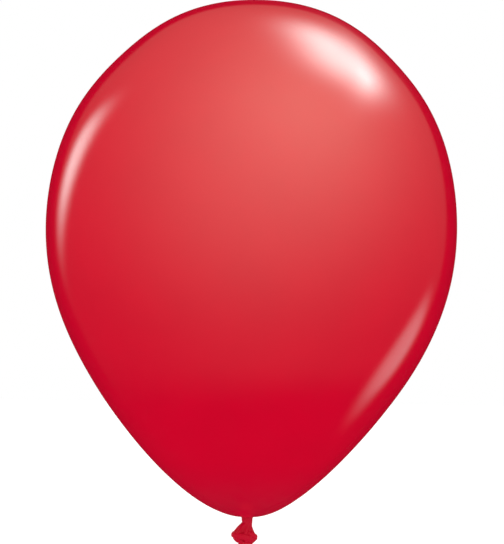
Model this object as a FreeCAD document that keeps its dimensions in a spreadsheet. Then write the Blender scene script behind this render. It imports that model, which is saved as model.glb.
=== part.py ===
"""Round latex balloon, inflated to 28 cm and tied off with its own neck.

Frame: millimetres, +Z up along the balloon's axis, +X to the side where the knot's loop is low.
The origin is on the axis, halfway down the short bare neck, where a ribbon is tied.
Every size is a cell of the document's spreadsheet, and every sub-part is bound to those cells.
"""

import FreeCAD
import Part
import Sketcher
import os

# Sketcher's numbers for the sketch's own origin and axes, and for points of a geometry.
ORIGIN = -1
SIDE_AXIS = -1
UP_AXIS = -2
START = 1
END = 2
CENTRE = 3

STARTING_BEND = 0.1  # how hollow the neck's arc is drawn before its radius is bound, mm
SAME_RADIUS = 0.01  # edges this close in radius, in mm, belong to the same rim corner

# alias, millimetres or degrees, what it measures
DIMENSIONS = [
    ("envelope_height", 351.8, "crown to the flat base round the neck"),
    ("base_level", 2.2, "height of the envelope's base above the tie point"),
    ("crown_reach", 46.0, "outline pole: how far the crown runs level"),
    ("shoulder_radius", 96.5, "outline pole at the shoulder, out from the axis"),
    ("shoulder_height", 314.2, "the same pole, above the base"),
    ("upper_side_radius", 135.4, "outline pole above the widest level, out from the axis"),
    ("upper_side_height", 260.2, "the same pole, above the base"),
    ("lower_side_radius", 146.7, "outline pole below the widest level, out from the axis"),
    ("lower_side_height", 165.2, "the same pole, above the base"),
    ("taper_radius", 101.4, "outline pole of the tapered lower part, out from the axis"),
    ("taper_height", 71.8, "the same pole, above the base"),
    ("base_reach", 29.4, "outline pole: how far the base runs level"),
    ("film_wall", 0.3, "wall of the inflated film as drawn"),
    ("neck_radius", 3.6, "outer radius at both ends of the neck"),
    ("neck_wall", 0.7, "gathered wall of the neck"),
    ("neck_groove", 20.0, "radius of the neck's hollowed outline"),
    ("knot_level", -1.9, "where the neck enters the knot"),
    ("fan_level", -5.5, "section through the fan above the loop"),
    ("fan_shift", -1.6, "side shift of that section"),
    ("fan_half_width", 5.2, "its half width"),
    ("fan_half_depth", 4.3, "its half depth"),
    ("girth_level", -9.8, "section through the knot at the loop"),
    ("girth_shift", -2.2, "side shift of that section"),
    ("girth_half_width", 7.3, "its half width"),
    ("girth_half_depth", 5.2, "its half depth"),
    ("foot_level", -15.2, "underside of the knot"),
    ("foot_shift", -1.2, "side shift of the underside"),
    ("foot_half_width", 5.5, "its half width"),
    ("foot_half_depth", 4.9, "its half depth"),
    ("loop_level", -10.6, "centre of the wrapped loop"),
    ("loop_shift", -1.85, "side shift of the loop"),
    ("loop_half_width", 6.95, "half width of the loop's centre line"),
    ("loop_half_depth", 4.6, "half depth of the loop's centre line"),
    ("loop_tilt", 6.0, "degrees that the loop leans, its low end on +X"),
    ("strand_radius", 2.2, "radius of the rolled strand that forms the loop"),
    ("tail_shift", -0.8, "side shift of the tail"),
    ("tail_level", -20.6, "bending point, the centre of the tail's round top"),
    ("tail_top_radius", 5.0, "radius of the tail's round top"),
    ("tail_length", 15.4, "bending point to the end of the thin film"),
    ("tail_end_radius", 7.7, "outer radius of the film where the rim is rolled"),
    ("tail_wall", 0.4, "wall of the unstretched film"),
    ("rim_bore_radius", 7.2, "mouth inside the rolled rim"),
    ("rim_width", 2.1, "thickness of the rolled bead across its section"),
    ("rim_height", 2.4, "height of the rolled bead"),
    ("rim_outer_round", 1.15, "rounding of the bead outside"),
    ("rim_inner_round", 0.3, "rounding of the bead inside"),
]


def make_sheet(doc):
    """Put the driving dimensions into a spreadsheet and return it."""
    sheet = doc.addObject("Spreadsheet::Sheet", "dims")
    for row, (alias, value, meaning) in enumerate(DIMENSIONS, start=1):
        sheet.set(f"A{row}", alias)
        sheet.set(f"B{row}", str(value))
        sheet.set(f"C{row}", meaning)
        sheet.setAlias(f"B{row}", alias)
    doc.recompute()
    return sheet


def value_of(doc, formula):
    """Give the number that a formula of the sheet's aliases has now."""
    probe = doc.getObject("dims").evalExpression(formula)
    return float(probe)


def add_body(doc, label, place_x=None, place_z=None):
    """Add a body whose label is its sub-part's name, moved by formulas of the sheet."""
    body = doc.addObject("PartDesign::Body", label)
    body.Label = label
    if place_x:
        body.setExpression("Placement.Base.x", place_x)
    if place_z:
        body.setExpression("Placement.Base.z", place_z)
    return body


def add_sketch(body, name, role, level=None):
    """Attach a new sketch to one of the body's own origin planes, raised by a formula."""
    plane = next(item for item in body.Origin.OriginFeatures if item.Role == role)
    sketch = body.newObject("Sketcher::SketchObject", name)
    sketch.AttachmentSupport = [(plane, "")]
    sketch.MapMode = "FlatFace"
    if level:
        sketch.setExpression("AttachmentOffset.Base.z", level)
    return sketch


def bind(sketch, kind, references, formula):
    """Add a constraint of the given kind whose value is a formula of the sheet."""
    value = value_of(sketch.Document, formula)
    index = sketch.addConstraint(Sketcher.Constraint(kind, *references, value))
    sketch.setExpression(f"Constraints[{index}]", formula)


def pin_point(sketch, geometry, point, across, up):
    """Fix a point of the sketch at two formulas; None keeps it on the matching axis."""
    if across is None:
        sketch.addConstraint(Sketcher.Constraint("PointOnObject", geometry, point, UP_AXIS))
    else:
        bind(sketch, "DistanceX", (ORIGIN, START, geometry, point), across)
    if up is None:
        sketch.addConstraint(Sketcher.Constraint("PointOnObject", geometry, point, SIDE_AXIS))
    else:
        bind(sketch, "DistanceY", (ORIGIN, START, geometry, point), up)


def corner(doc, across, up):
    """Give a starting position for a sketched point from its two formulas."""
    side = value_of(doc, across) if across else 0.0
    height = value_of(doc, up) if up else 0.0
    return FreeCAD.Vector(side, height, 0)


def add_polyline(sketch, points):
    """Draw joined straight lines through points given as pairs of formulas, all fixed."""
    lines = []
    for first, second in zip(points, points[1:]):
        line = Part.LineSegment(corner(sketch.Document, *first), corner(sketch.Document, *second))
        lines.append(sketch.addGeometry(line, False))
    for before, after in zip(lines, lines[1:]):
        sketch.addConstraint(Sketcher.Constraint("Coincident", before, END, after, START))
    return lines


def revolve(body, sketch, name):
    """Turn the sketch once round the sketch's own vertical axis."""
    turned = body.newObject("PartDesign::Revolution", name)
    turned.Profile = sketch
    turned.ReferenceAxis = (sketch, ["V_Axis"])
    turned.Angle = 360.0
    sketch.Visibility = False
    body.Document.recompute()
    return turned


def inset(doc, poles, wall):
    """Move a control polygon inward so that each of its sides moves by the wall's thickness.

    The polygon starts level on the axis and ends level at the neck.
    """
    points = [corner(doc, *pole) for pole in poles]
    normals = []
    for first, second in zip(points, points[1:]):
        side = (second - first).normalize()
        normals.append(FreeCAD.Vector(-side.y, side.x, 0))
    moved = []
    for (across, up), before, after in zip(poles, normals[:1] + normals, normals + normals[-1:]):
        mitre = (before + after) / (1 + before.dot(after))
        new_across = f"{across} - {mitre.x:.4f} * {wall}" if across else None
        moved.append((new_across, f"{up or 0} - {mitre.y:.4f} * {wall}"))
    return moved


def add_spline(sketch, poles):
    """Draw a smooth cubic curve from its poles, all fixed; the end poles are its ends."""
    degree = 3
    spans = len(poles) - degree
    multiplicities = [degree + 1] + [1] * (spans - 1) + [degree + 1]
    points = [corner(sketch.Document, *pole) for pole in poles]
    curve = Part.BSplineCurve()
    curve.buildFromPolesMultsKnots(points, multiplicities, list(range(spans + 1)), False, degree)
    spline = sketch.addGeometry(curve, False)
    sketch.exposeInternalGeometry(spline)
    circles = range(spline + 1, spline + 1 + len(poles))
    for circle, pole in zip(circles, poles):
        pin_point(sketch, circle, CENTRE, *pole)
    return spline


def make_envelope(doc):
    """Inflated film: a pear-shaped shell of revolution, open where the neck begins."""
    body = add_body(doc, "envelope", place_z="dims.base_level")
    outline = add_sketch(body, "envelope_outline", "XZ_Plane")
    poles = [
        (None, "dims.envelope_height"),
        ("dims.crown_reach", "dims.envelope_height"),
        ("dims.shoulder_radius", "dims.shoulder_height"),
        ("dims.upper_side_radius", "dims.upper_side_height"),
        ("dims.lower_side_radius", "dims.lower_side_height"),
        ("dims.taper_radius", "dims.taper_height"),
        ("dims.base_reach", None),
        ("dims.neck_radius", None),
    ]
    outer = add_spline(outline, poles)
    inner_poles = inset(doc, poles, "dims.film_wall")
    inner = add_spline(outline, inner_poles)
    inner_end = ("dims.neck_radius - dims.film_wall", None)
    edge = add_polyline(outline, [poles[-1], inner_end, inner_poles[-1]])
    crown = add_polyline(outline, [inner_poles[0], poles[0]])
    joints = [(outer, END, edge[0], START), (edge[1], END, inner, END),
              (crown[0], START, inner, START), (crown[0], END, outer, START)]
    for ends in joints:
        outline.addConstraint(Sketcher.Constraint("Coincident", *ends))
    pin_point(outline, edge[0], END, *inner_end)
    revolve(body, outline, "envelope_film")
    return body


def make_neck(doc):
    """Short bare tube between the envelope and the knot, slightly waisted."""
    body = add_body(doc, "neck")
    outline = add_sketch(body, "neck_outline", "XZ_Plane")
    top_outer = ("dims.neck_radius", "dims.base_level")
    top_inner = ("dims.neck_radius - dims.neck_wall", "dims.base_level")
    low_inner = ("dims.neck_radius - dims.neck_wall", "dims.knot_level")
    low_outer = ("dims.neck_radius", "dims.knot_level")
    lines = add_polyline(outline, [top_outer, top_inner, low_inner, low_outer])
    pin_point(outline, lines[0], START, *top_outer)
    pin_point(outline, lines[0], END, *top_inner)
    pin_point(outline, lines[1], END, *low_inner)
    pin_point(outline, lines[2], END, *low_outer)
    upper = corner(doc, *top_outer)
    lower = corner(doc, *low_outer)
    waist = (upper + lower) / 2 - FreeCAD.Vector(STARTING_BEND, 0, 0)
    groove = outline.addGeometry(Part.Arc(upper, waist, lower), False)
    outline.addConstraint(Sketcher.Constraint("Coincident", groove, START, lines[0], START))
    outline.addConstraint(Sketcher.Constraint("Coincident", groove, END, lines[2], END))
    bind(outline, "Radius", (groove,), "dims.neck_groove")
    revolve(body, outline, "neck_tube")
    return body


def add_oval(body, name, level, shift, half_width, half_depth):
    """Sketch an oval, level across the knot and wider along X than along Y."""
    sketch = add_sketch(body, name, "XY_Plane", level)
    doc = body.Document
    middle = corner(doc, shift, None)
    oval = Part.Ellipse(middle, value_of(doc, half_width), value_of(doc, half_depth))
    ring = sketch.addGeometry(oval, False)
    sketch.exposeInternalGeometry(ring)
    long_axis = ring + 1
    short_axis = ring + 2
    pin_point(sketch, ring, CENTRE, shift, None)
    sketch.addConstraint(Sketcher.Constraint("Horizontal", long_axis))
    bind(sketch, "Distance", (long_axis,), f"2 * {half_width}")
    bind(sketch, "Distance", (short_axis,), f"2 * {half_depth}")
    sketch.Visibility = False
    return sketch


def make_knot_core(doc):
    """Gathered film that fans out of the neck, fills the loop and closes the balloon."""
    body = add_body(doc, "knot_core")
    entry = add_sketch(body, "knot_entry", "XY_Plane", "dims.knot_level")
    entry_circle = Part.Circle()
    entry_circle.Radius = value_of(doc, "dims.neck_radius")
    ring = entry.addGeometry(entry_circle, False)
    entry.addConstraint(Sketcher.Constraint("Coincident", ring, CENTRE, ORIGIN, START))
    bind(entry, "Radius", (ring,), "dims.neck_radius")
    sections = [
        add_oval(body, f"knot_{part}", f"dims.{part}_level", f"dims.{part}_shift",
                 f"dims.{part}_half_width", f"dims.{part}_half_depth")
        for part in ("fan", "girth", "foot")
    ]
    loft = body.newObject("PartDesign::AdditiveLoft", "knot_core_body")
    loft.Profile = entry
    loft.Sections = sections
    entry.Visibility = False
    return body


def add_racetrack(body, name, half_width, half_depth):
    """Sketch a level path of two straight sides joined by half circles, about the body's origin."""
    sketch = add_sketch(body, name, "XY_Plane")
    depth = value_of(body.Document, half_depth)
    centre = FreeCAD.Vector(value_of(body.Document, half_width) - depth, 0, 0)
    side = FreeCAD.Vector(0, depth, 0)
    reach = FreeCAD.Vector(depth, 0, 0)
    right = sketch.addGeometry(Part.Arc(centre - side, centre + reach, centre + side), False)
    back = sketch.addGeometry(Part.LineSegment(centre + side, side - centre), False)
    left = sketch.addGeometry(Part.Arc(side - centre, -centre - reach, -centre - side), False)
    front = sketch.addGeometry(Part.LineSegment(-centre - side, centre - side), False)
    loop = [right, back, left, front]
    for before, after in zip(loop, loop[1:] + loop[:1]):
        sketch.addConstraint(Sketcher.Constraint("Tangent", before, END, after, START))
    pin_point(sketch, right, CENTRE, f"{half_width} - {half_depth}", None)
    pin_point(sketch, left, CENTRE, f"{half_depth} - {half_width}", None)
    bind(sketch, "Radius", (right,), half_depth)
    sketch.Visibility = False
    return sketch


def make_knot_loop(doc, core):
    """Rolled strand wrapped once round the knot, resting in the core's side."""
    strand = add_body(doc, "loop_strand", "dims.loop_shift", "dims.loop_level")
    tilt = value_of(doc, "dims.loop_tilt")
    strand.Placement.Rotation = FreeCAD.Rotation(FreeCAD.Vector(0, 1, 0), tilt)
    strand.setExpression("Placement.Rotation.Angle", "dims.loop_tilt")
    path = add_racetrack(strand, "loop_path", "dims.loop_half_width", "dims.loop_half_depth")
    section = add_sketch(strand, "strand_section", "YZ_Plane")
    middle = ("dims.loop_half_depth", None)
    ring = Part.Circle()
    ring.Center = corner(doc, *middle)
    ring.Radius = value_of(doc, "dims.strand_radius")
    strand_circle = section.addGeometry(ring, False)
    pin_point(section, strand_circle, CENTRE, *middle)
    bind(section, "Radius", (strand_circle,), "dims.strand_radius")
    pipe = strand.newObject("PartDesign::AdditivePipe", "loop_pipe")
    pipe.Profile = section
    pipe.Spine = (path, ["Edge1", "Edge2", "Edge3", "Edge4"])
    doc.recompute()
    loop = doc.addObject("Part::Cut", "knot_loop")
    loop.Label = "knot_loop"
    loop.Base = strand
    loop.Tool = core
    return loop


def add_dome_side(sketch, radius, end_radius):
    """Draw a round top about the sketch's origin and the straight flank below it, tangent."""
    size = value_of(sketch.Document, radius)
    side = FreeCAD.Vector(size, 0, 0)
    slope = FreeCAD.Vector(size, size, 0) / 2 ** 0.5
    end = corner(sketch.Document, end_radius, "-dims.tail_length")
    dome = sketch.addGeometry(Part.Arc(side, slope, FreeCAD.Vector(0, size, 0)), False)
    flank = sketch.addGeometry(Part.LineSegment(side, end), False)
    sketch.addConstraint(Sketcher.Constraint("Coincident", dome, CENTRE, ORIGIN, START))
    sketch.addConstraint(Sketcher.Constraint("Tangent", dome, START, flank, START))
    pin_point(sketch, dome, END, None, radius)
    pin_point(sketch, flank, END, end_radius, "-dims.tail_length")
    return dome, flank


def make_tail(doc):
    """Loose end of the neck below the knot: thin film with a round closed top."""
    body = add_body(doc, "tail", "dims.tail_shift", "dims.tail_level")
    outline = add_sketch(body, "tail_outline", "XZ_Plane")
    radius = "dims.tail_top_radius"
    end_radius = "dims.tail_end_radius"
    outer_dome, outer_flank = add_dome_side(outline, radius, end_radius)
    inner_dome, inner_flank = add_dome_side(outline, f"{radius} - dims.tail_wall",
                                            f"{end_radius} - dims.tail_wall")
    for first, second in ((outer_dome, inner_dome), (outer_flank, inner_flank)):
        ends = [outline.getPoint(geometry, END) for geometry in (first, second)]
        bridge = outline.addGeometry(Part.LineSegment(*ends), False)
        outline.addConstraint(Sketcher.Constraint("Coincident", bridge, START, first, END))
        outline.addConstraint(Sketcher.Constraint("Coincident", bridge, END, second, END))
    revolve(body, outline, "tail_film")
    return body


def make_rolled_rim(doc):
    """Bead rolled from the film's own edge, the balloon's mouth."""
    body = add_body(doc, "rolled_rim", "dims.tail_shift", "dims.tail_level - dims.tail_length")
    section = add_sketch(body, "rim_section", "XZ_Plane")
    inner = "dims.rim_bore_radius"
    outer = "dims.rim_bore_radius + dims.rim_width"
    corners = [(inner, None), (outer, None), (outer, "-dims.rim_height"), (inner, "-dims.rim_height")]
    sides = add_polyline(section, corners + corners[:1])
    section.addConstraint(Sketcher.Constraint("Coincident", sides[-1], END, sides[0], START))
    for side, place in zip(sides, corners):
        pin_point(section, side, START, *place)
    ring = revolve(body, section, "rim_ring")
    for name, wanted, rounding in (("rim_inside", min, "dims.rim_inner_round"),
                                   ("rim_outside", max, "dims.rim_outer_round")):
        edges = [(edge.Curve.Radius, f"Edge{number}") for number, edge
                 in enumerate(ring.Shape.Edges, start=1) if isinstance(edge.Curve, Part.Circle)]
        radius = wanted(edges)[0]
        fillet = body.newObject("PartDesign::Fillet", name)
        fillet.Base = (ring, [label for size, label in edges if abs(size - radius) < SAME_RADIUS])
        fillet.setExpression("Radius", rounding)
        doc.recompute()
        ring = fillet
    return body


def check(doc, parts):
    """Stop if any object of the document failed, or a sub-part has no valid solid."""
    for item in doc.Objects:
        if "Invalid" in item.State or "Error" in item.State:
            raise RuntimeError(f"{item.Name}: {item.State}")
    for part in parts:
        if part.Shape.isNull() or not part.Shape.isValid() or len(part.Shape.Solids) != 1:
            raise RuntimeError(f"{part.Label} is not one valid solid")


def main():
    doc = FreeCAD.newDocument("balloon")
    make_sheet(doc)
    core = make_knot_core(doc)
    parts = [
        make_envelope(doc),
        make_neck(doc),
        core,
        make_knot_loop(doc, core),
        make_tail(doc),
        make_rolled_rim(doc),
    ]
    doc.recompute()
    check(doc, parts)
    os.makedirs("parts", exist_ok=True)
    for part in parts:
        part.Shape.exportStep(f"parts/{part.Label}.step")
        box = part.Shape.optimalBoundingBox()
        print(f"{part.Label}: volume {part.Shape.Volume:.1f} mm3, X {box.XMin:.2f}..{box.XMax:.2f},"
              f" Y {box.YMin:.2f}..{box.YMax:.2f}, Z {box.ZMin:.2f}..{box.ZMax:.2f}")


main()
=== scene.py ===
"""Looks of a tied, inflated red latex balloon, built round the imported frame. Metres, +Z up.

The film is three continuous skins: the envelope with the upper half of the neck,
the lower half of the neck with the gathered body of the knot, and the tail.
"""

import math

import bpy
import numpy as np
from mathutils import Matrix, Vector


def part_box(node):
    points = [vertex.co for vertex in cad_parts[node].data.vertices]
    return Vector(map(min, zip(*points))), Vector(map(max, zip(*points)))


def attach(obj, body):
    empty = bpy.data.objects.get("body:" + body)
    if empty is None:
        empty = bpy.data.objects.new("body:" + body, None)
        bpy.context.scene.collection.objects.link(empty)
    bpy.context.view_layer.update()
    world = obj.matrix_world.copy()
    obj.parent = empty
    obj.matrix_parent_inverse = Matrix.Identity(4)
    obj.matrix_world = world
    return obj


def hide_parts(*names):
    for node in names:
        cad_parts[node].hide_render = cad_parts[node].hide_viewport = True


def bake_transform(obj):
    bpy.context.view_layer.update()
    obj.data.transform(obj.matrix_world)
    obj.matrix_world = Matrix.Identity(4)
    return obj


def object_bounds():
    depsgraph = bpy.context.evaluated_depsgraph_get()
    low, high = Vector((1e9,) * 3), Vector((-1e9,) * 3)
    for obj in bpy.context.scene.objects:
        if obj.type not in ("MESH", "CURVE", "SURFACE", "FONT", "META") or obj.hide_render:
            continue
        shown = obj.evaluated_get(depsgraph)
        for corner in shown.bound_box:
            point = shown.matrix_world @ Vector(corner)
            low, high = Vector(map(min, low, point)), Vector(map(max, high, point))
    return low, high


MM = 0.001
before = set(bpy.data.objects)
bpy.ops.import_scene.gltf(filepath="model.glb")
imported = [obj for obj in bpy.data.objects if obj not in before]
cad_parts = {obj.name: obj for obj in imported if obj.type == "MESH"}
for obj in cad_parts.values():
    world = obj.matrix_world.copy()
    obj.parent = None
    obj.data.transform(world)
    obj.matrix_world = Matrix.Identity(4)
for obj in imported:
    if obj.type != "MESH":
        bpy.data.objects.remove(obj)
cad_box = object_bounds()

COLUMNS = 192  # points round every skin but the strand's
STRAND_COLUMNS = 72
BEAD_COLUMNS = 40
OUTLINE_STEPS = 900
BODY_RINGS = 210
KNOT_RINGS = 130
STRAND_RINGS = 150
TAIL_RINGS = 100
TAIL_OPEN_FROM = 20  # the ring below which the tail is hollow

# Places and sizes read from the frame.
ENVELOPE_LOW, ENVELOPE_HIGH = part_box("envelope")
TAIL_LOW, TAIL_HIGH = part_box("tail")
RIM_LOW, RIM_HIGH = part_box("rolled_rim")
NECK_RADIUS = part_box("neck")[1].x
NECK_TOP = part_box("neck")[1].z
KNOT_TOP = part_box("neck")[0].z
KNOT_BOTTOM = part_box("knot_core")[0].z
TAIL_AXIS = (TAIL_LOW.x + TAIL_HIGH.x) / 2
TIE_POINT = Vector((0, 0, 0))

# The envelope's outline from crown to neck: the poles of one smooth cubic curve, as shares of the
# envelope's half width and height. The poles come from a least-squares fit to an outline.
OUTLINE = [(0, 1), (0.329, 1), (0.689, 0.893), (0.967, 0.740), (1.048, 0.470), (0.724, 0.204),
           (0.210, 0), (0.0257, 0)]
FILM = 0.3 * MM
CORNER_ROUND = 0.7 * MM

# How far the film's middle drifts sideways with height above the tie: height, drift, mm. Measured.
DRIFT = [(-5, 0), (0, 0), (4, 0), (16, -0.9), (42, -1.0), (76, -0.3), (112, 0.45), (200, 0.4), (262, 1.0),
         (305, 1.8), (330, 2.5), (354, 2.7), (360, 2.7)]

# The gathered knot's skin below the tie point: height, left edge, right edge, half depth, mm.
# The edges follow measured ones, and the depths are guessed.
KNOT_SKIN = [(0, -3.6, 3.6, 3.6), (-1.6, -3.5, 3.5, 3.5), (-4.0, -5.7, 3.3, 4.0),
             (-6.5, -7.7, 4.0, 4.7), (-9.0, -9.4, 5.2, 5.4), (-11.2, -9.3, 6.1, 5.5),
             (-13.2, -8.7, 6.3, 5.3), (-15.2, -6.8, 4.6, 4.7), (-16.0, -4.6, 2.8, 3.4)]
NECK_FOLDS = 13
FRONT_CREASE = 258  # where round the knot its deepest crease runs, degrees from +X

# The strand wrapped round the knot: turn from +X in degrees, reach as a share of the ring, height in mm.
STRAND_ROUTE = [(-80, 0.60, -8.0), (-50, 0.86, -9.4), (-20, 1.0, -11.1), (10, 1.0, -11.9),
                (50, 1.0, -11.5), (90, 1.0, -10.8), (135, 1.0, -10.2), (180, 1.0, -10.0),
                (225, 1.0, -10.4), (270, 1.0, -11.2), (300, 0.93, -12.1), (330, 0.74, -12.9),
                (350, 0.55, -13.3)]
STRAND_CENTRE = -1.8 * MM
STRAND_HALF_WIDTH = 7.0 * MM
STRAND_HALF_DEPTH = 4.9 * MM
STRAND_RADIUS = 2.1 * MM

TAIL_TUCK = 0.9 * MM  # how far the tail's film reaches up into the knot
BEAD_TUCK = 0.4 * MM  # how far it reaches down into the bead
BEAD_INSET = 1.45 * MM  # from the bead's outside in to the film
FLOOR_GAP = 20 * MM  # the floor lies this far below the balloon
FLOOR_HALF = 4.0


# ---------------------------------------------------------------- shaping helpers

def cubic_curve(poles, count):
    """Points along the clamped uniform cubic B-spline with these poles."""
    poles = np.array(poles, float)
    degree = 3
    spans = len(poles) - degree
    knots = np.concatenate([[0] * degree, np.arange(spans + 1), [spans] * degree]).astype(float)
    points = []
    for place in np.linspace(0, spans, count):
        span = min(int(place), spans - 1) + degree
        work = [poles[span - degree + k].copy() for k in range(degree + 1)]
        for level in range(1, degree + 1):
            for k in range(degree, level - 1, -1):
                low = knots[span - degree + k]
                share = (place - low) / (knots[span + 1 + k - level] - low)
                work[k] = (1 - share) * work[k - 1] + share * work[k]
        points.append(work[degree])
    return np.array(points)


def through_points(points, count):
    """Smooth curve that passes through the points (Catmull-Rom), evenly spread between them."""
    points = np.array(points, float)
    padded = np.vstack([2 * points[0] - points[1], points, 2 * points[-1] - points[-2]])
    places = np.linspace(0, len(points) - 1, count)
    spans = np.minimum(places.astype(int), len(points) - 2)
    t = (places - spans)[:, None]
    a, b, c, d = (padded[spans + k] for k in range(4))
    return 0.5 * (2 * b + (c - a) * t + (2 * a - 5 * b + 4 * c - d) * t ** 2
                  + (3 * b - a - 3 * c + d) * t ** 3)


def folds(angle, count, phase=0.0):
    """Gathered film round an axis, -1 in its creases to 1 on its crests, with finer folds between."""
    uneven = angle + 0.13 * np.sin(2 * angle + phase) + 0.07 * np.sin(3 * angle + 2.1 * phase)
    main = np.abs(np.sin(count * uneven / 2 + phase)) ** 0.6
    fine = np.abs(np.sin((2 * count + 1) * uneven / 2 + 1.7 * phase)) ** 0.7
    height = 0.75 + 0.25 * np.sin(angle * 4 + 2.6 * phase)
    return height * (1.5 * main + 0.5 * fine) - 1


def fade(value, start, end):
    """Smooth step from 0 at start to 1 at end."""
    t = np.clip((value - start) / (end - start), 0, 1)
    return t * t * (3 - 2 * t)


def mesh_piece(name, points, faces, material):
    """Make a smooth-shaded mesh object."""
    mesh = bpy.data.meshes.new(name)
    mesh.from_pydata([tuple(p) for p in points], [], faces)
    mesh.shade_smooth()
    mesh.materials.append(material)
    piece = bpy.data.objects.new(name, mesh)
    bpy.context.scene.collection.objects.link(piece)
    return piece


def skin(name, rings, material, loop=False):
    """Join rings of points into one skin; both ends close on their middles, or the last meets the first."""
    rings = np.array(rings)
    rows, columns = rings.shape[:2]
    points = [p for ring in rings for p in ring]
    faces = []
    for row in range(rows if loop else rows - 1):
        upper = row * columns
        lower = (row + 1) % rows * columns
        for column in range(columns):
            after = (column + 1) % columns
            faces.append((upper + column, lower + column, lower + after, upper + after))
    if not loop:
        for row, turn in ((0, 1), (rows - 1, -1)):
            points.append(rings[row].mean(axis=0))
            hub = len(points) - 1
            edge = [row * columns + column for column in range(columns)]
            faces += [(hub, edge[c], edge[(c + 1) % columns])[::turn] for c in range(columns)]
    return mesh_piece(name, points, faces, material)


def around(count=COLUMNS):
    """Angles evenly spread round a full turn."""
    return np.linspace(0, 2 * math.pi, count, endpoint=False)


# ---------------------------------------------------------------- materials

def node(tree, kind, **values):
    """Add a shader node; keys name its inputs, or its own settings."""
    made = tree.nodes.new(kind)
    for key, value in values.items():
        if hasattr(made, key):
            setattr(made, key, value)
        else:
            made.inputs[key.replace("_", " ")].default_value = value
    return made


def noise(tree, place, scale, detail):
    """A noise value at a place."""
    texture = node(tree, "ShaderNodeTexNoise", Scale=scale, Detail=detail)
    tree.links.new(place, texture.inputs["Vector"])
    return texture.outputs["Fac"]


def ramp(tree, source, stops):
    """Map a value to colours at stops of (place, grey or colour)."""
    made = tree.nodes.new("ShaderNodeValToRGB")
    band = made.color_ramp
    while len(band.elements) < len(stops):
        band.elements.new(0.5)
    for element, (place, colour) in zip(band.elements, stops):
        element.position = place
        element.color = (*colour, 1) if hasattr(colour, "__len__") else (colour, colour, colour, 1)
    tree.links.new(source, made.inputs["Fac"])
    return made.outputs["Color"]


def tint(tree, colour, layer):
    """One colour multiplied by another."""
    made = tree.nodes.new("ShaderNodeMix")
    made.data_type = "RGBA"
    made.blend_type = "MULTIPLY"
    made.inputs["Factor"].default_value = 1.0
    tree.links.new(colour, made.inputs["A"])
    tree.links.new(layer, made.inputs["B"])
    return made.outputs["Result"]


def by_height(tree, height, low, high, at_low, at_high):
    """A value that changes between two heights."""
    made = node(tree, "ShaderNodeMapRange", From_Min=low, From_Max=high, To_Min=at_low, To_Max=at_high)
    made.interpolation_type = "SMOOTHSTEP"
    tree.links.new(height, made.inputs["Value"])
    return made.outputs["Result"]


def latex(name, low_z, high_z, colours, smoothness, gloss, grain, relief):
    """Dipped latex film: a colour by height, which the callers also use for painted shade and a painted
    highlight, random cloudy tone, uneven smoothness and fine grain.

    smoothness is the shader's roughness at low_z and at high_z, and gloss its specular level.
    """
    material = bpy.data.materials.new(name)
    material.use_nodes = True
    tree = material.node_tree
    shader = tree.nodes["Principled BSDF"]
    place = tree.nodes.new("ShaderNodeTexCoord").outputs["Object"]
    split = tree.nodes.new("ShaderNodeSeparateXYZ")
    tree.links.new(place, split.inputs["Vector"])
    height = split.outputs["Z"]
    share = node(tree, "ShaderNodeMapRange", From_Min=low_z, From_Max=high_z)
    tree.links.new(height, share.inputs["Value"])
    colour = ramp(tree, share.outputs["Result"], colours)
    clouds = ramp(tree, noise(tree, place, grain * 0.02, 3), [(0.3, 0.96), (0.7, 1.0)])
    speckle = ramp(tree, noise(tree, place, grain, 2), [(0.35, 0.98), (0.65, 1.0)])
    colour = tint(tree, tint(tree, colour, clouds), speckle)
    tree.links.new(colour, shader.inputs["Base Color"])
    smear = by_height(tree, height, low_z, high_z, *smoothness)
    worn = node(tree, "ShaderNodeMapRange", From_Min=0.3, From_Max=0.7, To_Min=0.85, To_Max=1.15)
    tree.links.new(noise(tree, place, grain * 0.1, 3), worn.inputs["Value"])
    rough = tree.nodes.new("ShaderNodeMath")
    rough.operation = "MULTIPLY"
    tree.links.new(smear, rough.inputs[0])
    tree.links.new(worn.outputs["Result"], rough.inputs[1])
    tree.links.new(rough.outputs[0], shader.inputs["Roughness"])
    bump = node(tree, "ShaderNodeBump", Strength=relief, Distance=0.02 * MM)
    tree.links.new(noise(tree, place, grain * 0.5, 4), bump.inputs["Height"])
    tree.links.new(bump.outputs["Normal"], shader.inputs["Normal"])
    shader.inputs["Specular IOR Level"].default_value = gloss
    shader.inputs["Sheen Weight"].default_value = 0.45
    shader.inputs["Sheen Roughness"].default_value = 0.35
    shader.inputs["Sheen Tint"].default_value = (1.0, 0.01, 0.05, 1)
    return material


def make_materials():
    """The film where it is inflated, where it is gathered and where it hangs loose."""
    # The envelope's red darkens from its body down to the neck: painted shade on the underside, which faces
    # down.
    shaded_neck_red = (0.60, 0.0002, 0.026)
    body = (0.725, 0.0001, 0.024)
    inflated = latex("inflated_latex", TIE_POINT.z, 0.12 * ENVELOPE_HIGH.z,
                     [(0.0, shaded_neck_red), (0.4, (0.66, 0.0002, 0.026)), (1.0, body)],
                     (0.20, 0.10), 0.5, 1400, 0.05)
    # The knot's red is kept about as dark as the neck's: painted shade, the same as there.
    gathered = latex("gathered_latex", KNOT_BOTTOM, KNOT_TOP,
                     [(0.0, (0.58, 0.0004, 0.024)), (0.6, (0.60, 0.0004, 0.024)), (1.0, shaded_neck_red)],
                     (0.36, 0.30), 0.10, 5200, 0.35)
    # The tail's red is lighter and more orange over its middle, a painted highlight, and darker at both
    # ends.
    relaxed = latex("relaxed_latex", RIM_LOW.z, KNOT_BOTTOM,
                    [(0.0, (0.56, 0.012, 0.026)), (0.15, (0.66, 0.034, 0.034)),
                     (0.8, (0.66, 0.028, 0.032)), (1.0, (0.58, 0.006, 0.026))],
                    (0.36, 0.32), 0.14, 5200, 0.4)
    return inflated, gathered, relaxed


# ---------------------------------------------------------------- the balloon

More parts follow.
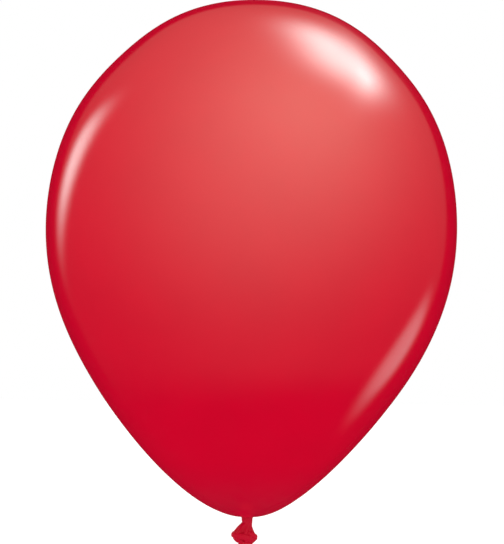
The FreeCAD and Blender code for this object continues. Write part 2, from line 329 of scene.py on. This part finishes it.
def envelope_profile():
    """Outer outline from the crown down to the tie point: radius, height, outward normal."""
    half_width = (ENVELOPE_HIGH.x - ENVELOPE_LOW.x) / 2
    height = ENVELOPE_HIGH.z - ENVELOPE_LOW.z
    curve = cubic_curve(OUTLINE, OUTLINE_STEPS) * [half_width, height] + [0, ENVELOPE_LOW.z]
    curve = curve[curve[:, 0] > NECK_RADIUS + CORNER_ROUND]
    turn = np.linspace(0, math.pi / 2, 9)[1:]
    centre = np.array([NECK_RADIUS + CORNER_ROUND, curve[-1, 1] - CORNER_ROUND])
    corner = centre + CORNER_ROUND * np.stack([-np.sin(turn), np.cos(turn)], axis=1)
    down = np.linspace(centre[1], TIE_POINT.z, 14)[1:]
    bare = np.stack([np.full(len(down), NECK_RADIUS), down], axis=1)
    # Even steps over the body, finer and finer towards the neck.
    steps = np.concatenate([[0], np.cumsum(np.hypot(*np.diff(curve, axis=0).T))])
    wanted = steps[-1] * (1 - (1 - np.linspace(0, 1, BODY_RINGS)) ** 1.6)
    curve = np.stack([np.interp(wanted, steps, curve[:, k]) for k in (0, 1)], axis=1)[1:]
    line = np.vstack([curve, corner, bare])
    along = np.gradient(line, axis=0)
    along /= np.hypot(along[:, 0], along[:, 1])[:, None]
    return line, np.stack([-along[:, 1], along[:, 0]], axis=1)


def make_envelope(material, neck_material):
    """Inflated film and the upper half of the neck, one thin closed shell."""
    line, normal = envelope_profile()
    angle = around()
    from_neck = np.maximum(line[:, 0] - NECK_RADIUS, 0)
    pucker = 0.16 * MM + 0.14 * MM * fade(line[:, 1], 0, NECK_TOP)
    pucker = pucker * np.exp(-from_neck / (4.5 * MM))
    outer = []
    for (radius, height), (side, up), depth in zip(line, normal, pucker):
        rise = depth * folds(angle, NECK_FOLDS, 0.8)
        reach = radius + side * rise
        outer.append(np.stack([reach * np.cos(angle), reach * np.sin(angle), height + up * rise], axis=1))
    outer = np.array(outer)
    inner = outer.copy()
    scale = 1 - FILM / np.maximum(np.hypot(outer[..., 0], outer[..., 1]), FILM) * np.abs(normal[:, None, 0])
    inner[..., :2] *= scale[..., None]
    inner[..., 2] -= FILM * normal[:, None, 1]
    heights, drifts = through_points(DRIFT, 300).T * MM
    for wall in (outer, inner):
        wall[..., 0] += np.interp(wall[..., 2], heights, drifts)
    piece = skin("envelope_film", np.concatenate([outer, inner[::-1]]), material)
    piece.data.materials.append(neck_material)
    for face in piece.data.polygons:
        face.material_index = int(face.center.z < ENVELOPE_LOW.z)
    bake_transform(piece)
    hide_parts("envelope")


def knot_ring(angle, height, left, right, depth):
    """One level of the knot's skin: pleats that deepen and lean as the film fans out."""
    opened = fade(-height, 1.0 * MM, 9 * MM)
    lean = 0.35 * fade(-height, 1.5 * MM, 12 * MM)
    gather = (0.16 + 0.42 * opened) * MM * folds(angle + lean, NECK_FOLDS, 0.8)
    away = (angle - math.radians(FRONT_CREASE)) / 0.2
    crease = MM * opened * (1.3 * np.exp(-away ** 2) - 0.55 * np.exp(-(np.abs(away) - 2) ** 2))
    reach = 1 + (gather - crease) / depth
    middle = (left + right) / 2
    half = (right - left) / 2
    return np.stack([middle + half * reach * np.cos(angle), depth * reach * np.sin(angle),
                     np.full(len(angle), height)], axis=1)


def make_knot_body(material):
    """Lower half of the neck and the gathered body of the knot, fanning out to one side."""
    angle = around()
    lip = knot_ring(angle, *np.array(KNOT_SKIN[0]) * MM)
    plug = lip * [0.9, 0.9, 1] + [0, 0, FILM]
    rings = [plug, lip] + [knot_ring(angle, *row) for row in through_points(KNOT_SKIN, KNOT_RINGS)[1:] * MM]
    piece = skin("neck_and_knot", rings, material)
    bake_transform(piece)
    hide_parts("neck", "knot_core")


def make_strand(material):
    """Twisted strand of the neck, wrapped once round the knot and tucked in under itself."""
    turn, reach, height = through_points(STRAND_ROUTE, STRAND_RINGS).T
    turn = np.radians(turn)
    path = np.stack([STRAND_CENTRE + STRAND_HALF_WIDTH * reach * np.cos(turn),
                     STRAND_HALF_DEPTH * reach * np.sin(turn), height * MM], axis=1)
    along = np.gradient(path, axis=0)
    along /= np.linalg.norm(along, axis=1)[:, None]
    up = np.array([0, 0, 1.0])
    side = np.cross(along, up)
    side /= np.linalg.norm(side, axis=1)[:, None]
    top = np.cross(side, along)
    share = np.linspace(0, 1, len(path))
    body = STRAND_RADIUS * (0.55 + 0.45 * fade(share, 0, 0.12)) * (0.55 + 0.45 * fade(1 - share, 0, 0.12))
    body = body * (1 + 0.05 * np.sin(9 * share + 0.5))
    angle = around(STRAND_COLUMNS)
    rings = []
    for point, out, high, radius, s in zip(path, side, top, body, share):
        edge = radius * (1 + 0.085 * folds(angle + 2.6 * s, 7, 1.3))
        rings.append(point + np.outer(0.94 * edge * np.cos(angle), out)
                     + np.outer(1.06 * edge * np.sin(angle), high))
    piece = skin("knot_strand", rings, material)
    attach(piece, "knot")
    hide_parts("knot_loop")


def rim_wave(angle):
    """How the open end rises and falls round its edge."""
    return MM * (0.22 * np.sin(2 * angle + 0.4) + 0.12 * np.sin(5 * angle + 1.9))


def tail_ring(angle, radius, height, drop):
    """One level of the tail: tight pleats at the knot, soft dents lower down, an even edge."""
    gather = MM * (0.06 + 0.6 * (1 - drop) ** 2.2) * folds(angle + 0.3 * drop, 9, 2.2)
    belly = fade(drop, 0.1, 0.5) * fade(1 - drop, 0.0, 0.35)
    dents = MM * belly * (0.42 * np.sin(3 * angle + 1.0) + 0.2 * np.sin(7 * angle + 2.0 * drop))
    reach = radius + gather + dents
    wide = 1 + 0.045 * belly
    return np.stack([TAIL_AXIS + wide * reach * np.cos(angle), reach / wide * np.sin(angle),
                     height + fade(drop, 0.4, 1) * rim_wave(angle)], axis=1)


def make_tail(material):
    """Loose end of the neck: thin film, pinched where it leaves the knot, open at the rim."""
    top = KNOT_BOTTOM + TAIL_TUCK
    bottom = RIM_HIGH.z - BEAD_TUCK
    end_radius = (RIM_HIGH.x - RIM_LOW.x) / 2 - BEAD_INSET
    angle = around()
    outline = through_points([(4.1 * MM, top), (4.75 * MM, top - 1.6 * MM), (5.2 * MM, top - 3.4 * MM),
                              (5.5 * MM, top - 8 * MM), (6.3 * MM, top - 14.5 * MM),
                              (end_radius, bottom)], TAIL_RINGS)
    outer = np.array([tail_ring(angle, radius, height, (top - height) / (top - bottom))
                      for radius, height in outline])
    inner = outer[TAIL_OPEN_FROM:].copy()
    axis = np.array([TAIL_AXIS, 0])
    away = inner[..., :2] - axis
    away *= 1 - FILM / np.linalg.norm(away, axis=2)[..., None]
    inner[..., :2] = axis + away
    piece = skin("tail_film", np.concatenate([outer, inner[::-1]]), material)
    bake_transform(piece)
    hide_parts("tail")


def make_rim(material):
    """Bead rolled from the film's edge, with the end of the roll as a fine step outside."""
    outer_radius = (RIM_HIGH.x - RIM_LOW.x) / 2
    thickness = (RIM_HIGH.z - RIM_LOW.z) / 2
    ring_radius = outer_radius - thickness * 0.95
    middle = (RIM_HIGH.z + RIM_LOW.z) / 2
    section = around(BEAD_COLUMNS)
    rings = []
    for a in around():
        swell = 1 + 0.035 * math.sin(5 * a + 0.6) + 0.025 * math.sin(9 * a + 2.0) + 0.02 * math.sin(17 * a)
        roll = 1 - 0.11 * np.exp(-((section - 0.9 - 0.15 * math.sin(2 * a)) / 0.12) ** 2)
        size = 0.93 * thickness * swell * roll
        reach = ring_radius + size * np.cos(section)
        rings.append(np.stack([TAIL_AXIS + reach * math.cos(a), reach * math.sin(a),
                               middle + rim_wave(a) + size * np.sin(section)], axis=1))
    piece = skin("rolled_bead", rings, material, loop=True)
    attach(piece, "tail")
    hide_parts("rolled_rim")


# ---------------------------------------------------------------- studio

def direction(azimuth, elevation):
    """Unit vector from the balloon: azimuth 0 is towards the front camera, 90 along +X; degrees."""
    a = math.radians(azimuth)
    e = math.radians(elevation)
    return Vector((math.sin(a) * math.cos(e), -math.cos(a) * math.cos(e), math.sin(e)))


# Soft boxes as the film shows them: azimuth, elevation, half width, half height, lean, brightness and
# how sharply the edge falls off; angles in degrees. Least-squares fits to highlights, then tuned.
SOFT_BOXES = [(126.5, 57.2, 14.0, 15.0, 62, 9.5, 2.2), (121.5, 44.8, 5.1, 14.0, 76, 7.2, 1.5),
              (-128.0, 15.5, 14.5, 6.8, 69, 4.3, 2.6), (126.2, -26.5, 13.0, 7.6, 72, 1.5, 4.2)]
# Broad glows of the white tent: azimuth, elevation, spread and brightness. Fitted, then tuned likewise.
TENT_GLOWS = [(54.0, 52.0, 40.0, 1.75), (5.0, 40.0, 70.0, 2.30)]
TENT_COLOUR = (1.0, 1.0, 0.74)
BOX_COLOUR = (0.75, 1.0, 0.97)
BACK_OPENING = 39  # half angle of the dark opening behind the balloon
OPENING_DROP = 10  # how far the middle of that opening is below level
# Where the tent meets the dark table: the slope of the film that shows it to the front camera.
TABLE_EDGE = -0.575


class Sums:
    """Arithmetic with shader sockets and plain numbers in one node tree."""

    def __init__(self, tree):
        self.tree = tree

    def math(self, operation, *terms):
        made = self.tree.nodes.new("ShaderNodeMath")
        made.operation = operation
        for socket, term in zip(made.inputs, terms):
            if isinstance(term, (int, float)):
                socket.default_value = term
            else:
                self.tree.links.new(term, socket)
        return made.outputs[0]

    def dot(self, socket, vector):
        made = self.tree.nodes.new("ShaderNodeVectorMath")
        made.operation = "DOT_PRODUCT"
        made.inputs[1].default_value = vector
        self.tree.links.new(socket, made.inputs[0])
        return made.outputs["Value"]

    def product(self, *terms):
        total = terms[0]
        for term in terms[1:]:
            total = self.math("MULTIPLY", total, term)
        return total

    def bell(self, square, peak):
        return self.product(self.math("EXPONENT", self.product(square, -1.0)), peak)

    def step(self, value, start, end):
        made = self.tree.nodes.new("ShaderNodeMapRange")
        made.interpolation_type = "SMOOTHSTEP"
        made.inputs["From Min"].default_value = start
        made.inputs["From Max"].default_value = end
        self.tree.links.new(value, made.inputs["Value"])
        return made.outputs["Result"]


def soft_box(sums, toward, azimuth, elevation, width, height, lean, peak, edge):
    """Brightness of one leaning oval soft box."""
    middle = direction(azimuth, elevation)
    level = Vector((math.cos(math.radians(azimuth)), math.sin(math.radians(azimuth)), 0))
    up = level.cross(middle)
    up = up if up.z > 0 else -up
    turn = math.radians(lean)
    wide = level * math.cos(turn) + up * math.sin(turn)
    tall = up * math.cos(turn) - level * math.sin(turn)
    across = sums.math("DIVIDE", sums.dot(toward, wide), math.sin(math.radians(width)))
    along = sums.math("DIVIDE", sums.dot(toward, tall), math.sin(math.radians(height)))
    square = sums.math("ADD", sums.product(across, across), sums.product(along, along))
    facing = sums.math("GREATER_THAN", sums.dot(toward, middle), 0.0)
    return sums.product(sums.bell(sums.math("POWER", square, edge / 2), peak), facing)


def tent_glow(sums, toward, azimuth, elevation, spread, peak):
    """Brightness of one broad round glow."""
    angle = sums.math("ARCCOSINE", sums.dot(toward, direction(azimuth, elevation)))
    share = sums.math("DIVIDE", angle, math.radians(spread))
    return sums.bell(sums.product(share, share), peak)


def reflected_tent(sums, toward):
    """Brightness of the white tent the film mirrors; it is open behind and below."""
    tent = sums.math("ADD", *(tent_glow(sums, toward, *glow) for glow in TENT_GLOWS))
    behind = sums.dot(toward, -direction(0, OPENING_DROP))
    edge = math.cos(math.radians(BACK_OPENING + 5)), math.cos(math.radians(BACK_OPENING))
    tent = sums.product(tent, sums.math("SUBTRACT", 1.0, sums.step(behind, *edge)))
    depth = sums.math("SUBTRACT", 2.0, sums.product(2.0, sums.dot(toward, (0, 1, 0))))
    length = sums.math("SQRT", sums.math("MAXIMUM", depth, 1e-6))
    slope = sums.math("DIVIDE", sums.dot(toward, (0, 0, 1)), length)
    return sums.product(tent, sums.step(slope, TABLE_EDGE - 0.035, TABLE_EDGE + 0.085))


def reflected_boxes(sums, toward):
    """Brightness of the soft boxes the film mirrors."""
    total = 0.0
    for box in SOFT_BOXES:
        total = sums.math("ADD", total, soft_box(sums, toward, *box))
    return total


def make_world():
    """White surround for the camera, an even fill for soft light, and a studio for reflections only."""
    world = bpy.data.worlds.new("studio")
    bpy.context.scene.world = world
    world.use_nodes = True
    tree = world.node_tree
    tree.nodes.clear()
    sums = Sums(tree)
    link = tree.links.new
    toward = tree.nodes.new("ShaderNodeTexCoord").outputs["Generated"]
    fill = node(tree, "ShaderNodeBackground")
    lower_dark = node(tree, "ShaderNodeMapRange", From_Min=-0.95, From_Max=-0.4, To_Min=0.75, To_Max=1.0)
    link(sums.dot(toward, (0, 0, 1)), lower_dark.inputs["Value"])
    link(lower_dark.outputs["Result"], fill.inputs["Color"])
    mirror = node(tree, "ShaderNodeBackground")
    tent = reflected_tent(sums, toward)
    boxes = reflected_boxes(sums, toward)
    both = tree.nodes.new("ShaderNodeCombineColor")
    for channel, tent_share, box_share in zip(both.inputs, TENT_COLOUR, BOX_COLOUR):
        link(sums.math("ADD", sums.product(tent, tent_share), sums.product(boxes, box_share)), channel)
    link(both.outputs["Color"], mirror.inputs["Color"])
    white = node(tree, "ShaderNodeBackground")
    white.inputs["Color"].default_value = (1, 1, 1, 1)
    path = tree.nodes.new("ShaderNodeLightPath")
    reflected = tree.nodes.new("ShaderNodeMixShader")
    link(path.outputs["Is Glossy Ray"], reflected.inputs["Fac"])
    link(fill.outputs[0], reflected.inputs[1])
    link(mirror.outputs[0], reflected.inputs[2])
    seen = tree.nodes.new("ShaderNodeMixShader")
    link(path.outputs["Is Camera Ray"], seen.inputs["Fac"])
    link(reflected.outputs[0], seen.inputs[1])
    link(white.outputs[0], seen.inputs[2])
    link(seen.outputs[0], tree.nodes.new("ShaderNodeOutputWorld").inputs["Surface"])


def make_studio():
    """The world, and a pale floor that gives no reflection, bounce or shade to the balloon."""
    make_world()
    floor = bpy.data.meshes.new("floor")
    half = FLOOR_HALF
    level = cad_box[0].z - FLOOR_GAP
    corners = [(-half, -half, level), (half, -half, level), (half, half, level), (-half, half, level)]
    floor.from_pydata(corners, [], [(0, 1, 2, 3)])
    paint = bpy.data.materials.new("floor_paint")
    paint.use_nodes = True
    shader = paint.node_tree.nodes["Principled BSDF"]
    shader.inputs["Base Color"].default_value = (0.93, 0.93, 0.93, 1)
    shader.inputs["Roughness"].default_value = 0.9
    shader.inputs["Specular IOR Level"].default_value = 0.0
    shader.inputs["Emission Color"].default_value = (1, 1, 1, 1)
    shader.inputs["Emission Strength"].default_value = 0.25
    floor.materials.append(paint)
    ground = bpy.data.objects.new("floor", floor)
    bpy.context.scene.collection.objects.link(ground)
    ground.visible_glossy = False
    ground.visible_diffuse = False
    ground.visible_shadow = False


def make_camera():
    """Level and far off, near the balloon's mid height, turned so that the crown tips a little right."""
    picture_width = 504
    scale = 0.681 * MM  # what one pixel of the picture spans at the balloon, from its width
    distance = 2.6
    camera = bpy.data.cameras.new("camera")
    camera.sensor_fit = "HORIZONTAL"
    camera.sensor_width = 36
    camera.lens = camera.sensor_width * distance / (picture_width * scale)
    holder = bpy.data.objects.new("camera", camera)
    bpy.context.scene.collection.objects.link(holder)
    holder.location = (1.2 * MM, -distance, 168.9 * MM)
    holder.rotation_euler = (math.pi / 2, math.radians(-0.74), 0)
    bpy.context.scene.camera = holder


def main():
    inflated, gathered, relaxed = make_materials()
    make_envelope(inflated, gathered)
    make_knot_body(gathered)
    make_strand(gathered)
    make_tail(relaxed)
    make_rim(relaxed)
    make_studio()
    make_camera()
    bpy.context.scene.view_settings.view_transform = "Standard"


main()
